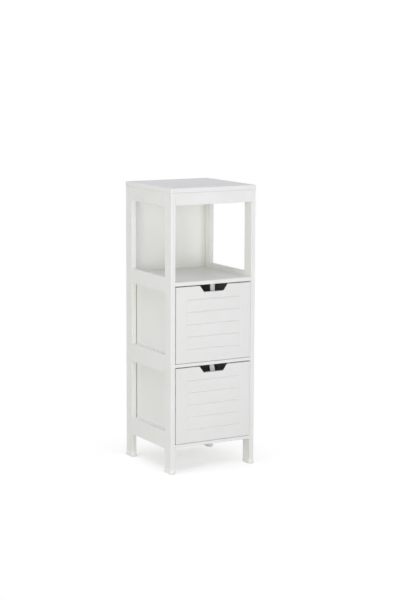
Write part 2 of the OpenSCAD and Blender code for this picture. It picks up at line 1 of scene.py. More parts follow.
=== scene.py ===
# %% [markdown]
# # A bathroom storage tower, dressed in Blender
#
# The tower is a white lacquered frame on four legs, with an open compartment on top and two
# drawers below it. Its construction is already packed as a fixed model, with every piece at its
# real size. This lesson gives each piece its finish: it models the pieces whose edges, grooves
# and mouldings catch the light, and it paints all of them with procedural materials.
#
# Everything is in metres, in the model's own frame: the floor is at z = 0 and the fronts face -Y.

import json
import math

import bmesh
import bpy
from mathutils import Matrix, Vector


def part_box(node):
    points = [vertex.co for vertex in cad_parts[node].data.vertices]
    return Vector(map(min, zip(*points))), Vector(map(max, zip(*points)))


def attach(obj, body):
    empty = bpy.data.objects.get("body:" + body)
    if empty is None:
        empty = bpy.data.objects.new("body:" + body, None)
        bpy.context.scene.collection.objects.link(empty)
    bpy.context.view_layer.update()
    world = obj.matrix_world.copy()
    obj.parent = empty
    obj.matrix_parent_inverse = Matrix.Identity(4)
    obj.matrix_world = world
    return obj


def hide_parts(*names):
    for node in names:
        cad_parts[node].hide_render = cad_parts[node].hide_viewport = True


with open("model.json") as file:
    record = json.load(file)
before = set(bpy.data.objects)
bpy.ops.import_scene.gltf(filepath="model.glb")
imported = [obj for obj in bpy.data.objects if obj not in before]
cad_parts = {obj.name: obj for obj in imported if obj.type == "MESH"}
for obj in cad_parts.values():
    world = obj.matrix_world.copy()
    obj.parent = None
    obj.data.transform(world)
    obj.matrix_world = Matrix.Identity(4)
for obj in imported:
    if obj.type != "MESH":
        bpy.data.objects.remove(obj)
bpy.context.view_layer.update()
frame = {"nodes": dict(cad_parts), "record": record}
nodes = frame["nodes"]
MM = 0.001

# %% [markdown]
# ## The camera
#
# A long lens from a few metres away keeps the uprights almost parallel, as a catalogue picture
# does. The camera stands to the left of the tower, a little above its top, and looks down at it.
# Its place and angles come from the vanishing points of the tower's own edges.

# %% Camera
CAMERA_AT = Vector((-2.5700, -4.5581, 1.3331))
CAMERA_YAW = math.radians(29.788)
CAMERA_PITCH = math.radians(8.869)
CAMERA_ROLL = math.radians(0.235)
FOCAL_LENGTH = 99.907
SENSOR = 36

camera_data = bpy.data.cameras.new("camera")
camera_data.lens = FOCAL_LENGTH
camera_data.sensor_width = SENSOR
camera = bpy.data.objects.new("camera", camera_data)
bpy.context.scene.collection.objects.link(camera)
camera.matrix_world = (
    Matrix.Translation(CAMERA_AT)
    @ Matrix.Rotation(-CAMERA_YAW, 4, "Z")
    @ Matrix.Rotation(math.pi / 2 - CAMERA_PITCH, 4, "X")
    @ Matrix.Rotation(CAMERA_ROLL, 4, "Z")
)
bpy.context.scene.camera = camera
bpy.context.scene.view_settings.view_transform = "Standard"
print(f"camera {CAMERA_AT.length:.2f} m from the tower's foot")

# %% [markdown]
# ## Node helpers
#
# A shader is a graph. A few small helpers keep the cells short. One adds a node with its settings
# and input values. Three join sockets or plain numbers: by arithmetic, by a smooth change of range,
# and by a mix of colours. The last two make a group with named sockets, and place it in a tree.


# %% Node helpers
def add(tree, kind, settings=None, **values):
    """A node of a kind in a tree. Values are inputs, by name with underscores for spaces."""
    node = tree.nodes.new(kind)
    for name, value in (settings or {}).items():
        setattr(node, name, value)
    for name, value in values.items():
        node.inputs[name.replace("_", " ")].default_value = value
    return node


def math_node(tree, operation, a, b, clamp=False):
    """A Math node on two inputs, each a socket or a number."""
    node = add(tree, "ShaderNodeMath", {"operation": operation, "use_clamp": clamp})
    for socket, value in zip(node.inputs, (a, b)):
        if isinstance(value, bpy.types.NodeSocket):
            tree.links.new(value, socket)
        else:
            socket.default_value = value
    return node.outputs[0]


def ramp_between(tree, value, low, high, to_low, to_high):
    """A value moved smoothly from one range to another."""
    node = add(tree, "ShaderNodeMapRange", {"interpolation_type": "SMOOTHSTEP"})
    tree.links.new(value, node.inputs["Value"])
    for name, number in (
        ("From Min", low),
        ("From Max", high),
        ("To Min", to_low),
        ("To Max", to_high),
    ):
        node.inputs[name].default_value = number
    return node.outputs["Result"]


def mix_colour(tree, amount, a, b):
    """A mix of two colours, each a socket or an RGB value."""
    node = add(tree, "ShaderNodeMix", {"data_type": "RGBA"})
    for socket, value in ((node.inputs[0], amount), (node.inputs[6], a), (node.inputs[7], b)):
        if isinstance(value, bpy.types.NodeSocket):
            tree.links.new(value, socket)
        elif isinstance(value, (int, float)):
            socket.default_value = value
        else:
            socket.default_value = (*value, 1)
    return node.outputs[2]


def group(name, inputs, outputs):
    """An empty shader group with float inputs {name: value} and outputs {name: socket type}."""
    tree = bpy.data.node_groups.new(name, "ShaderNodeTree")
    for socket, value in inputs.items():
        made = tree.interface.new_socket(socket, in_out="INPUT", socket_type="NodeSocketFloat")
        made.default_value = value
    for socket, kind in outputs.items():
        tree.interface.new_socket(socket, in_out="OUTPUT", socket_type=kind)
    return tree, tree.nodes.new("NodeGroupInput"), tree.nodes.new("NodeGroupOutput")


def place(tree, name, **values):
    """A group placed in a tree, with its own values."""
    return add(tree, "ShaderNodeGroup", {"node_tree": bpy.data.node_groups[name]}, **values)


# %% [markdown]
# ## The studio
#
# The picture's background is plain white, and the floor keeps only a soft shadow. More lamps would
# burn out the white lacquer, so the floor is a pale diffuse surface with a share of its own glow,
# which only the camera and mirror-like rays see. Away from the tower's feet it fades into plain
# white. Light that bounces off the floor onto the tower comes from its plain pale colour.


# %% Rays that see the white background
def background_rays(tree):
    """1 for camera, glossy and transmission rays, and 0 for the rays that light things."""
    path = add(tree, "ShaderNodeLightPath")
    seen = math_node(
        tree, "MAXIMUM", path.outputs["Is Camera Ray"], path.outputs["Is Glossy Ray"]
    )
    return math_node(tree, "MAXIMUM", seen, path.outputs["Is Transmission Ray"])


# %% World
SKY_COLOUR = (0.97, 1.0, 0.95, 1)
SKY_STRENGTH = 0.33

world = bpy.data.worlds.new("studio")
world.use_nodes = True
bpy.context.scene.world = world
sky_tree = world.node_tree
sky_tree.nodes.clear()
sky = add(sky_tree, "ShaderNodeBackground", Color=SKY_COLOUR, Strength=SKY_STRENGTH)
white = add(sky_tree, "ShaderNodeBackground", Color=(1, 1, 1, 1), Strength=1)
sky_mix = add(sky_tree, "ShaderNodeMixShader")
sky_tree.links.new(background_rays(sky_tree), sky_mix.inputs[0])
sky_tree.links.new(sky.outputs[0], sky_mix.inputs[1])
sky_tree.links.new(white.outputs[0], sky_mix.inputs[2])
sky_out = add(sky_tree, "ShaderNodeOutputWorld")
sky_tree.links.new(sky_mix.outputs[0], sky_out.inputs["Surface"])
print(f"sky lights at {SKY_STRENGTH} and shows as white")

# %% Floor
FLOOR_SIZE = 60
FLOOR_BOUNCE = (0.86, 0.86, 0.85, 1)
FLOOR_SHADOW_SHARE = (0.95, 0.945, 0.945, 1)
FLOOR_GLOW = 0.33
FADE_SHIFT = (0.06, 0, 0)
FLOOR_FADES_FROM = 0.06
FLOOR_WHITE_FROM = 0.42

floor_bm = bmesh.new()
bmesh.ops.create_grid(floor_bm, x_segments=1, y_segments=1, size=FLOOR_SIZE / 2)
floor_mesh = bpy.data.meshes.new("floor")
floor_bm.to_mesh(floor_mesh)
floor_bm.free()
floor = bpy.data.objects.new("floor", floor_mesh)
bpy.context.scene.collection.objects.link(floor)

floor_material = bpy.data.materials.new("floor")
floor_material.use_nodes = True
floor_tree = floor_material.node_tree
floor_tree.nodes.clear()
bounce = add(floor_tree, "ShaderNodeBsdfDiffuse", Color=FLOOR_BOUNCE)
shadowed = add(floor_tree, "ShaderNodeBsdfDiffuse", Color=FLOOR_SHADOW_SHARE)
glow = add(floor_tree, "ShaderNodeEmission", Color=(1, 1, 1, 1), Strength=FLOOR_GLOW)
near_floor = add(floor_tree, "ShaderNodeAddShader")
floor_tree.links.new(shadowed.outputs[0], near_floor.inputs[0])
floor_tree.links.new(glow.outputs[0], near_floor.inputs[1])
far_floor = add(floor_tree, "ShaderNodeEmission", Color=(1, 1, 1, 1), Strength=1)
floor_point = add(floor_tree, "ShaderNodeTexCoord")
shifted = add(floor_tree, "ShaderNodeVectorMath", {"operation": "ADD"})
shifted.inputs[1].default_value = FADE_SHIFT
floor_tree.links.new(floor_point.outputs["Object"], shifted.inputs[0])
from_tower = add(floor_tree, "ShaderNodeVectorMath", {"operation": "LENGTH"})
floor_tree.links.new(shifted.outputs[0], from_tower.inputs[0])
fade = ramp_between(
    floor_tree, from_tower.outputs["Value"], FLOOR_FADES_FROM, FLOOR_WHITE_FROM, 0, 1
)
seen_floor = add(floor_tree, "ShaderNodeMixShader")
floor_tree.links.new(fade, seen_floor.inputs[0])
floor_tree.links.new(near_floor.outputs[0], seen_floor.inputs[1])
floor_tree.links.new(far_floor.outputs[0], seen_floor.inputs[2])
floor_mix = add(floor_tree, "ShaderNodeMixShader")
floor_tree.links.new(background_rays(floor_tree), floor_mix.inputs[0])
floor_tree.links.new(bounce.outputs[0], floor_mix.inputs[1])
floor_tree.links.new(seen_floor.outputs[0], floor_mix.inputs[2])
floor_out = add(floor_tree, "ShaderNodeOutputMaterial")
floor_tree.links.new(floor_mix.outputs[0], floor_out.inputs["Surface"])
floor_mesh.materials.append(floor_material)
print(f"floor fades to white from {FLOOR_FADES_FROM} to {FLOOR_WHITE_FROM} m")

# %% [markdown]
# ## Lamps
#
# Two soft boxes to the left of the tower light its fronts and its left side, and one to the right
# opens the shadows inside the open compartment. Two high ones, in front and on the left, light the
# top board and the ledges of the rails, and leave a thin shadow under each edge that stands out.
# The last one, behind, keeps the back readable. An area lamp of P watts at a distance d lights a
# surface that faces it with P / (pi * d)^2 of the level at which a colour renders as it is
# written.


# %% Soft boxes
LAMP_AIM = Vector((0, 0, 0.6))
LAMP_DISTANCE = 3.6
LAMP_SIZE = 1.7


def soft_box(name, azimuth, elevation, level, colour):
    """A square area lamp. Azimuth 0 stands in front of the tower and 90 on its left."""
    turn, rise = math.radians(azimuth), math.radians(elevation)
    away = Vector(
        (-math.sin(turn) * math.cos(rise), -math.cos(turn) * math.cos(rise), math.sin(rise))
    )
    lamp = bpy.data.lights.new(name, "AREA")
    lamp.size = LAMP_SIZE
    lamp.energy = level * (math.pi * LAMP_DISTANCE) ** 2
    lamp.color = colour
    lamp_object = bpy.data.objects.new(name, lamp)
    bpy.context.scene.collection.objects.link(lamp_object)
    turned = away.to_track_quat("Z", "Y").to_matrix().to_4x4()
    lamp_object.matrix_world = Matrix.Translation(LAMP_AIM + away * LAMP_DISTANCE) @ turned


SOFT_BOXES = {
    "front_left": (30, 3, 0.165, (0.98, 1, 0.81)),
    "left": (60, 3, 0.295, (1, 0.98, 0.95)),
    "front_right": (-30, 3, 0.205, (0.86, 0.81, 1)),
    "high_front": (10, 55, 0.16, (0.86, 0.83, 1)),
    "high_left": (90, 65, 0.20, (0.86, 0.83, 1)),
    "rear_right": (240, 4, 0.25, (1, 1, 1)),
}
for name, (azimuth, elevation, level, colour) in SOFT_BOXES.items():
    soft_box(name, azimuth, elevation, level, colour)
print(f"{len(SOFT_BOXES)} soft boxes")

# %% [markdown]
# ## Shared effects
#
# Sprayed and rolled finishes are never perfectly flat. Seen close, satin paint has a fine skin,
# like the peel of an orange, and over a hand's width its sheen drifts a little. Both effects are
# groups, so each material places them with its own scale.


# %% Paint skin and drifting sheen
def coordinates(tree, scale):
    """Object coordinates times a socket."""
    where = add(tree, "ShaderNodeTexCoord")
    scaled = add(tree, "ShaderNodeVectorMath", {"operation": "SCALE"})
    tree.links.new(where.outputs["Object"], scaled.inputs[0])
    tree.links.new(scale, scaled.inputs["Scale"])
    return scaled.outputs[0]


skin, skin_in, skin_out = group(
    "paint_skin",
    {"Peel per metre": 700, "Drift per metre": 6},
    {"Height": "NodeSocketFloat", "Drift": "NodeSocketFloat"},
)
peel = add(skin, "ShaderNodeTexNoise", Scale=1, Detail=2, Roughness=0.45)
skin.links.new(coordinates(skin, skin_in.outputs["Peel per metre"]), peel.inputs["Vector"])
skin.links.new(peel.outputs["Fac"], skin_out.inputs["Height"])
drift = add(skin, "ShaderNodeTexNoise", Scale=1, Detail=3, Roughness=0.5)
skin.links.new(coordinates(skin, skin_in.outputs["Drift per metre"]), drift.inputs["Vector"])
skin.links.new(
    ramp_between(skin, drift.outputs["Fac"], 0.3, 0.7, 0, 1), skin_out.inputs["Drift"]
)

# %% [markdown]
# Dust settles on what faces up and stays there after a wipe. The mask reads the surface's own
# normal, so it follows a drawer when it slides.

# %% Settled dust
dust, dust_in, dust_out = group(
    "settled_dust", {"Specks per metre": 420}, {"Mask": "NodeSocketFloat"}
)
facing = add(dust, "ShaderNodeNewGeometry")
upward = add(dust, "ShaderNodeSeparateXYZ")
dust.links.new(facing.outputs["Normal"], upward.inputs[0])
specks = add(dust, "ShaderNodeTexNoise", Scale=1, Detail=4, Roughness=0.7)
dust.links.new(coordinates(dust, dust_in.outputs["Specks per metre"]), specks.inputs["Vector"])
on_top = ramp_between(dust, upward.outputs["Z"], 0.6, 1.0, 0, 1)
in_specks = ramp_between(dust, specks.outputs["Fac"], 0.45, 0.75, 0.25, 1)
dust.links.new(math_node(dust, "MULTIPLY", on_top, in_specks), dust_out.inputs["Mask"])

# %% [markdown]
# ## Materials
#
# Every finish is a Principled shader whose colour, roughness and bump vary over the surface.
# The paint is written a little darker than it looks, because its gloss adds to it. The drawer
# fronts are milled board, and their lacquer is the frame's, painted a shade darker as painted shade
# for the lower light on them. The back panel and the drawer boxes are painted whiter than their
# boards, as painted light in the open compartment and inside the drawers.


# %% A material with a skin
PEEL_DEPTH = 0.1 * MM
DUST_COLOUR = (0.66, 0.65, 0.62)


def material(name, colour, colour_drift, roughness, peel_size, bump, dust_amount=0.0):
    """A coated or moulded surface. Colours and roughness are pairs that the drift mixes."""
    made = bpy.data.materials.new(name)
    made.use_nodes = True
    tree = made.node_tree
    shader = tree.nodes["Principled BSDF"]
    surface = place(tree, "paint_skin", Peel_per_metre=1 / peel_size)
    colour_out = mix_colour(tree, surface.outputs["Drift"], colour, colour_drift)
    rough_out = ramp_between(tree, surface.outputs["Drift"], 0, 1, *roughness)
    if dust_amount:
        settled = place(tree, "settled_dust")
        share = math_node(tree, "MULTIPLY", settled.outputs["Mask"], dust_amount)
        colour_out = mix_colour(tree, share, colour_out, DUST_COLOUR)
        rough_out = math_node(tree, "ADD", rough_out, share, clamp=True)
    tree.links.new(colour_out, shader.inputs["Base Color"])
    tree.links.new(rough_out, shader.inputs["Roughness"])
    relief = add(tree, "ShaderNodeBump", Strength=bump, Distance=PEEL_DEPTH)
    tree.links.new(surface.outputs["Height"], relief.inputs["Height"])
    tree.links.new(relief.outputs["Normal"], shader.inputs["Normal"])
    return made


# %% Lacquer, board and plastic
lacquer = material(
    "white_lacquer",
    colour=(0.84, 0.845, 0.83),
    colour_drift=(0.825, 0.83, 0.81),
    roughness=(0.42, 0.50),
    peel_size=1.6 * MM,
    bump=0.35,
    dust_amount=0.08,
)
# The frame's lacquer painted a shade darker: painted shade on the drawer fronts, which less light
# reaches.
front_lacquer_painted_shade = material(
    "white_lacquer_painted_shade",
    colour=(0.81, 0.815, 0.80),
    colour_drift=(0.795, 0.80, 0.78),
    roughness=(0.42, 0.50),
    peel_size=1.6 * MM,
    bump=0.35,
    dust_amount=0.08,
)
hardboard = material(
    "white_hardboard",
    colour=(0.84, 0.845, 0.825),
    colour_drift=(0.82, 0.825, 0.80),
    roughness=(0.42, 0.54),
    peel_size=0.9 * MM,
    bump=0.45,
    dust_amount=0.05,
)
# The side panels' hardboard painted brighter for the back panel: painted light in the open
# compartment.
back_board_painted_light = material(
    "white_hardboard_painted_light",
    colour=(0.90, 0.91, 0.875),
    colour_drift=(0.885, 0.895, 0.855),
    roughness=(0.42, 0.54),
    peel_size=0.9 * MM,
    bump=0.45,
    dust_amount=0.05,
)
# A white board, painted whiter than real board: partly its own white colour, partly painted light
# inside the drawers, seen through the grips.
box_board = material(
    "white_box_board",
    colour=(0.93, 0.935, 0.91),
    colour_drift=(0.92, 0.925, 0.90),
    roughness=(0.50, 0.62),
    peel_size=0.6 * MM,
    bump=0.5,
    dust_amount=0.04,
)
stop_plastic = material(
    "stop_plastic",
    colour=(0.63, 0.65, 0.68),
    colour_drift=(0.59, 0.61, 0.64),
    roughness=(0.20, 0.28),
    peel_size=2.5 * MM,
    bump=0.15,
)
foot_plastic = material(
    "foot_plastic",
    colour=(0.87, 0.875, 0.86),
    colour_drift=(0.85, 0.855, 0.84),
    roughness=(0.36, 0.46),
    peel_size=0.8 * MM,
    bump=0.4,
)
print("seven painted and moulded finishes")

# %% [markdown]
# Beech has a straight fine grain with short darker flecks. A noise squeezed along the strip makes
# the grain, and a finer one makes the flecks.


# %% Beech
GRAIN_DEPTH = 0.15 * MM


def beech_material():
    """Wood with its grain along Y, as the guide strips lie."""
    made = bpy.data.materials.new("beech")
    made.use_nodes = True
    tree = made.node_tree
    shader = tree.nodes["Principled BSDF"]
    where = add(tree, "ShaderNodeTexCoord")
    along = add(tree, "ShaderNodeMapping", Scale=(260, 9, 260))
    tree.links.new(where.outputs["Object"], along.inputs["Vector"])
    grain = add(tree, "ShaderNodeTexNoise", Scale=1, Detail=5, Roughness=0.6, Distortion=0.4)
    tree.links.new(along.outputs[0], grain.inputs["Vector"])
    short = add(tree, "ShaderNodeMapping", Scale=(1400, 160, 1400))
    tree.links.new(where.outputs["Object"], short.inputs["Vector"])
    fleck = add(tree, "ShaderNodeTexNoise", Scale=1, Detail=2, Roughness=0.5)
    tree.links.new(short.outputs[0], fleck.inputs["Vector"])
    bands = ramp_between(tree, grain.outputs["Fac"], 0.35, 0.68, 0, 1)
    flecks = ramp_between(tree, fleck.outputs["Fac"], 0.62, 0.74, 0, 0.6)
    wood = mix_colour(tree, bands, (0.66, 0.46, 0.27), (0.54, 0.34, 0.18))
    tree.links.new(mix_colour(tree, flecks, wood, (0.36, 0.20, 0.10)), shader.inputs["Base Color"])
    tree.links.new(ramp_between(tree, bands, 0, 1, 0.55, 0.7), shader.inputs["Roughness"])
    relief = add(tree, "ShaderNodeBump", Strength=0.4, Distance=GRAIN_DEPTH)
    tree.links.new(grain.outputs["Fac"], relief.inputs["Height"])
    tree.links.new(relief.outputs["Normal"], shader.inputs["Normal"])
    return made


beech = beech_material()

# %% [markdown]
# The cam discs are die-cast zinc, dull and slightly pitted, and the screws and bolts are steel
# with a bright zinc plating whose sheen is uneven.


# %% Metals
def metal_material(name, colour, colour_drift, roughness, peel_size, bump):
    """A metal whose colour and sheen drift as a coat's do."""
    made = material(name, colour, colour_drift, roughness, peel_size, bump)
    made.node_tree.nodes["Principled BSDF"].inputs["Metallic"].default_value = 1
    return made


zinc = metal_material(
    "zinc",
    colour=(0.60, 0.61, 0.63),
    colour_drift=(0.48, 0.49, 0.51),
    roughness=(0.42, 0.6),
    peel_size=0.5 * MM,
    bump=0.8,
)
steel = metal_material(
    "steel",
    colour=(0.70, 0.71, 0.72),
    colour_drift=(0.60, 0.60, 0.62),
    roughness=(0.22, 0.36),
    peel_size=0.4 * MM,
    bump=0.3,
)

FINISH = {
    "white_lacquer": lacquer,
    "white_hardboard": hardboard,
    "white_box_board": box_board,
    "beech": beech,
    "stop_plastic": stop_plastic,
    "foot_plastic": foot_plastic,
    "zinc": zinc,
    "steel": steel,
}
print(f"{len(FINISH)} finishes")

# %% Which finish each node takes
BODY_OF = {}
for body_name, members in frame["record"]["behaviour"]["bodies"].items():
    for member in members:
        BODY_OF[member] = body_name

SLOT_OF = {part["node"]: part["material_slot"] for part in frame["record"]["subparts"]}
print(f"{len(SLOT_OF)} nodes have a slot")

# The drawer fronts take a painted shade, and the back panel takes a painted light.
OWN_FINISH = {
    "back_panel": back_board_painted_light,
    "upper_drawer_front": front_lacquer_painted_shade,
    "lower_drawer_front": front_lacquer_painted_shade,
}


def finish_of(name):
    """The material of a node: its own, or else the one of its slot."""
    return OWN_FINISH.get(name, FINISH[SLOT_OF[name]])


for name, node in nodes.items():
    node.data.materials.clear()
    node.data.materials.append(finish_of(name))

# %% [markdown]
# ## Pieces that stand for nodes
#
# A node whose edges show is replaced by a mesh with softer edges. Sanded and lacquered board has
# no sharp edge anywhere, and each small round is what draws a thin bright or dark line around a
# piece. Smooth shading alone would bend the light over the big flat faces, so edges over a set
# angle stay sharp, and a Weighted Normal modifier lets the big faces rule their corners.

# %% From mesh to piece
SHARP_ANGLE = math.radians(35)
RIM_ANGLE = math.radians(40)
NEAR = 0.02 * MM


def dress(name, bm, node):
    """A finished mesh becomes the piece that stands for a node: on its body, in its finish."""
    bmesh.ops.recalc_face_normals(bm, faces=bm.faces)
    still_open = sum(not edge.is_manifold for edge in bm.edges)
    mesh = bpy.data.meshes.new(name)
    bm.to_mesh(mesh)
    bm.free()
    mesh.shade_smooth()
    mesh.set_sharp_from_angle(angle=SHARP_ANGLE)
    mesh.materials.append(finish_of(node))
    piece = bpy.data.objects.new(name, mesh)
    bpy.context.scene.collection.objects.link(piece)
    weighted = piece.modifiers.new("weighted", "WEIGHTED_NORMAL")
    weighted.keep_sharp = True
    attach(piece, BODY_OF[node])
    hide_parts(node)
    print(f"{name}: {len(mesh.polygons)} faces, {still_open} open edges")
    return piece


def round_edges(bm, edges, radius, segments=4):
    """Rounds a list of edges."""
    bmesh.ops.bevel(
        bm,
        geom=edges,
        offset=radius,
        offset_type="OFFSET",
        affect="EDGES",
        segments=segments,
        profile=0.5,
        material=-1,
    )


def edges_on(bm, **planes):
    """The edges that lie on every plane given, such as x=0.135 with z=0.875."""
    return [
        edge
        for edge in bm.edges
        if all(
            abs(vert.co["xyz".index(axis)] - value) < NEAR
            for vert in edge.verts
            for axis, value in planes.items()
        )
    ]


def block(lo, hi):
    """A box between two corners."""
    bm = bmesh.new()
    sized = Matrix.Diagonal((*(hi - lo), 1))
    bmesh.ops.create_cube(bm, size=1, matrix=Matrix.Translation((lo + hi) / 2) @ sized)
    return bm


# %% [markdown]
# ## Rails, boards and panels
#
# These carry true bores for dowels, cams and screws, so the construction's own mesh is the best
# start. A copy is merged, because a node's mesh is loose triangles, and its flat triangles are
# dissolved into whole faces. Then the edges where two sides of its box meet are found, and each
# gets a small round. Bores lie inside the box's sides and keep their edges.


# %% Eased copies
MERGE_DISTANCE = 0.001 * MM
FLAT_ANGLE = math.radians(0.5)


def merged_copy(node):
    """A node's mesh with its loose triangles joined and its flat parts dissolved."""
    bm = bmesh.new()
    bm.from_mesh(nodes[node].data)
    bmesh.ops.remove_doubles(bm, verts=bm.verts, dist=MERGE_DISTANCE)
    bmesh.ops.dissolve_limit(bm, angle_limit=FLAT_ANGLE, verts=bm.verts, edges=bm.edges)
    return bm


def box_planes(node):
    """The six planes of a node's box, as (axis, value)."""
    lo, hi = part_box(node)
    return [(axis, corner[i]) for corner in (lo, hi) for i, axis in enumerate("xyz")]


def is_rim(edge, planes):
    """True if an edge lies on one plane of the box and borders a face that isn't on it."""
    if len(edge.link_faces) != 2 or edge.calc_face_angle(0) < RIM_ANGLE:
        return False
    return any(
        all(abs(vert.co["xyz".index(axis)] - value) < NEAR for vert in edge.verts)
        for axis, value in planes
    )


def ease(node, radius=0.4 * MM, segments=2, reach=2 * MM):
    """A copy of a node with its box's sharp rims rounded. A rim ends within reach of two sides."""
    bm = merged_copy(node)
    planes = box_planes(node)
    rims = []
    for edge in bm.edges:
        if not is_rim(edge, planes):
            continue
        near_sides = min(
            sum(abs(vert.co["xyz".index(axis)] - value) < reach for axis, value in planes)
            for vert in edge.verts
        )
        if near_sides >= 2:
            rims.append(edge)
    round_edges(bm, rims, radius, segments)
    return dress(f"{node}_eased", bm, node)


SIDES = ("left", "right")
RAIL_LEVELS = ("top", "shelf", "middle", "bottom")
RAILS = [f"{side}_{level}_rail" for side in SIDES for level in RAIL_LEVELS]
BOARDS = ["shelf_board", "middle_board", "bottom_board"]
for name in RAILS + BOARDS + ["rear_top_rail"]:
    ease(name)
ease("front_apron", radius=1.2 * MM, segments=3)

# %% [markdown]
# ## The top board
#
# The top board has a softly rounded upper edge, which shows as a bright line in the light from
# the front. The long edges are rounded first. That leaves a mitre line at each corner, and
# rounding the whole chain of edges there, from the lower face to the upper one, turns the corner.

# %% Top board
TOP_EDGE_R = 2 * MM
TOP_LOWER_R = 2 * MM
TOP_CORNER_R = 2.5 * MM
LONGEST_MITRE = 3 * MM


def corner_chains(bm, lo, hi):
    """The edges down each corner of a box, with the mitre lines that rounded rims left there."""
    middle, half = (lo + hi) / 2, (hi - lo) / 2

    def inset_gap(vert):
        away = vert.co - middle
        return (half.x - abs(away.x)) - (half.y - abs(away.y))

    return [
        edge
        for edge in bm.edges
        if all(abs(inset_gap(vert)) < NEAR for vert in edge.verts)
        and abs(edge.verts[0].co.z - edge.verts[1].co.z) > NEAR / 10
        and (edge.verts[0].co - edge.verts[1].co).xy.length < LONGEST_MITRE
    ]


lo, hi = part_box("top_board")
top = block(lo, hi)
round_edges(top, edges_on(top, z=hi.z), TOP_EDGE_R, segments=8)
round_edges(top, edges_on(top, z=lo.z), TOP_LOWER_R, segments=4)
round_edges(top, corner_chains(top, lo, hi), TOP_CORNER_R, segments=6)
dress("top_board_rounded", top, "top_board")

# %% [markdown]
# ## The posts
#
# Each post is a flat bar on edge. Its outer corners are rounded more than its inner ones. The
# back panel slides in a groove of the rear posts: four cuts mark it on the inner face, and the
# face between them is pushed into the wood.

# %% Posts
POST_R = 2 * MM
POST_INNER_R = 0.8 * MM
PANEL_GROOVE_D = 6 * MM
PANEL_FIT = 0.2 * MM
PANEL_SHADOW_GAP = 2 * MM
GROOVE_STOPS_UNDER_TOP = 1 * MM


def post_bar(node):
    """A post with its long edges rounded, and the x of its inner face."""
    lo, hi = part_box(node)
    bm = block(lo, hi)
    inner_x, outer_x = sorted((lo.x, hi.x), key=abs)
    inner_y, outer_y = sorted((lo.y, hi.y), key=abs)
    round_edges(bm, edges_on(bm, x=outer_x, y=outer_y), POST_R, segments=5)
    round_edges(bm, edges_on(bm, x=outer_x, y=inner_y), POST_R, segments=5)
    round_edges(bm, edges_on(bm, x=inner_x, y=outer_y), POST_INNER_R, segments=3)
    round_edges(bm, edges_on(bm, x=inner_x, y=inner_y), POST_INNER_R, segments=3)
    return bm, inner_x


def cut(bm, point, normal):
    """Cuts every face along a plane and keeps both sides."""
    bmesh.ops.bisect_plane(
        bm, geom=bm.verts[:] + bm.edges[:] + bm.faces[:], plane_co=point, plane_no=normal
    )


for side in SIDES:
    name = f"front_{side}_post"
    dress(f"{name}_rounded", post_bar(name)[0], name)

    name = f"rear_{side}_post"
    bar, inner_x = post_bar(name)
    panel_lo, panel_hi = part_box("back_panel")
    groove_y = (panel_lo.y - PANEL_SHADOW_GAP, panel_hi.y + PANEL_FIT)
    groove_z = (panel_lo.z, panel_hi.z - GROOVE_STOPS_UNDER_TOP)
    for y in groove_y:
        cut(bar, (0, y, 0), (0, 1, 0))
    for z in groove_z:
        cut(bar, (0, 0, z), (0, 0, 1))
    strip = [
        face
        for face in bar.faces
        if abs(face.calc_center_median().x - inner_x) < NEAR
        and groove_y[0] < face.calc_center_median().y < groove_y[1]
        and groove_z[0] < face.calc_center_median().z < groove_z[1]
    ]
    pushed = bmesh.ops.extrude_face_region(bar, geom=strip)["geom"]
    bmesh.ops.delete(bar, geom=strip, context="FACES")
    deeper = [vert for vert in pushed if isinstance(vert, bmesh.types.BMVert)]
    bmesh.ops.translate(bar, vec=(math.copysign(PANEL_GROOVE_D, inner_x), 0, 0), verts=deeper)
    dress(f"{name}_rounded", bar, name)

# %% [markdown]
# ## The drawer fronts
#
# A front is a board with a grip cut out of its upper edge and five V-grooves milled across its
# face, joined at their ends by two finer lines. The outline is a flat face with eight corners,
# whose corners are rounded as points. Extruding it gives the board, and the front rim is then
# rounded. For the grooves the face is cut along each groove's two edges and its middle, and the
# points on the middle lines are pushed in.

# %% Measures of a front
GRIP_TOP = 98 * MM
GRIP_BOTTOM = 69 * MM
GRIP_DEPTH = 20.5 * MM
GRIP_FLARE = 7.5 * MM
GRIP_TOP_R = 4 * MM
GRIP_BOTTOM_R = 3 * MM
FRONT_EDGE_R = 0.75 * MM
FRONT_REAR_R = 0.6 * MM
GROOVES = 5
GROOVE_PITCH = 38.7 * MM
GROOVE_WIDTH = 3.8 * MM
GROOVE_DEPTH = 2 * MM
GROOVE_LENGTH = 190 * MM
END_LINE_WIDTH = 2 * MM
END_LINE_DEPTH = 0.7 * MM


# %% Drawer front
def front_outline(bm, lo, hi):
    """The flat outline of a front with its grip, on the plane of its rear face."""
    middle = (lo.x + hi.x) / 2
    grip_floor = hi.z - GRIP_DEPTH
    half_top, half_bottom = GRIP_TOP / 2 + GRIP_FLARE, GRIP_BOTTOM / 2 + GRIP_FLARE
    corners = [
        (lo.x, lo.z, 0),
        (hi.x, lo.z, 0),
        (hi.x, hi.z, 0),
        (middle + half_top, hi.z, GRIP_TOP_R),
        (middle + half_bottom, grip_floor, GRIP_BOTTOM_R),
        (middle - half_bottom, grip_floor, GRIP_BOTTOM_R),
        (middle - half_top, hi.z, GRIP_TOP_R),
        (lo.x, hi.z, 0),
    ]
    slant = math.atan2((GRIP_TOP - GRIP_BOTTOM) / 2, GRIP_DEPTH)
    tangent = math.tan((math.pi / 2 - slant) / 2)
    points = [bm.verts.new((x, hi.y, z)) for x, z, radius in corners]
    bm.faces.new(points)
    for radius in (GRIP_TOP_R, GRIP_BOTTOM_R):
        bmesh.ops.bevel(
            bm,
            geom=[point for point, corner in zip(points, corners) if corner[2] == radius],
            offset=radius * tangent,
            offset_type="OFFSET",
            affect="VERTICES",
            segments=7,
            profile=0.5,
            material=-1,
        )
        points = [point if point.is_valid else None for point in points]
        corners = [corner for point, corner in zip(points, corners) if point]
        points = [point for point in points if point]


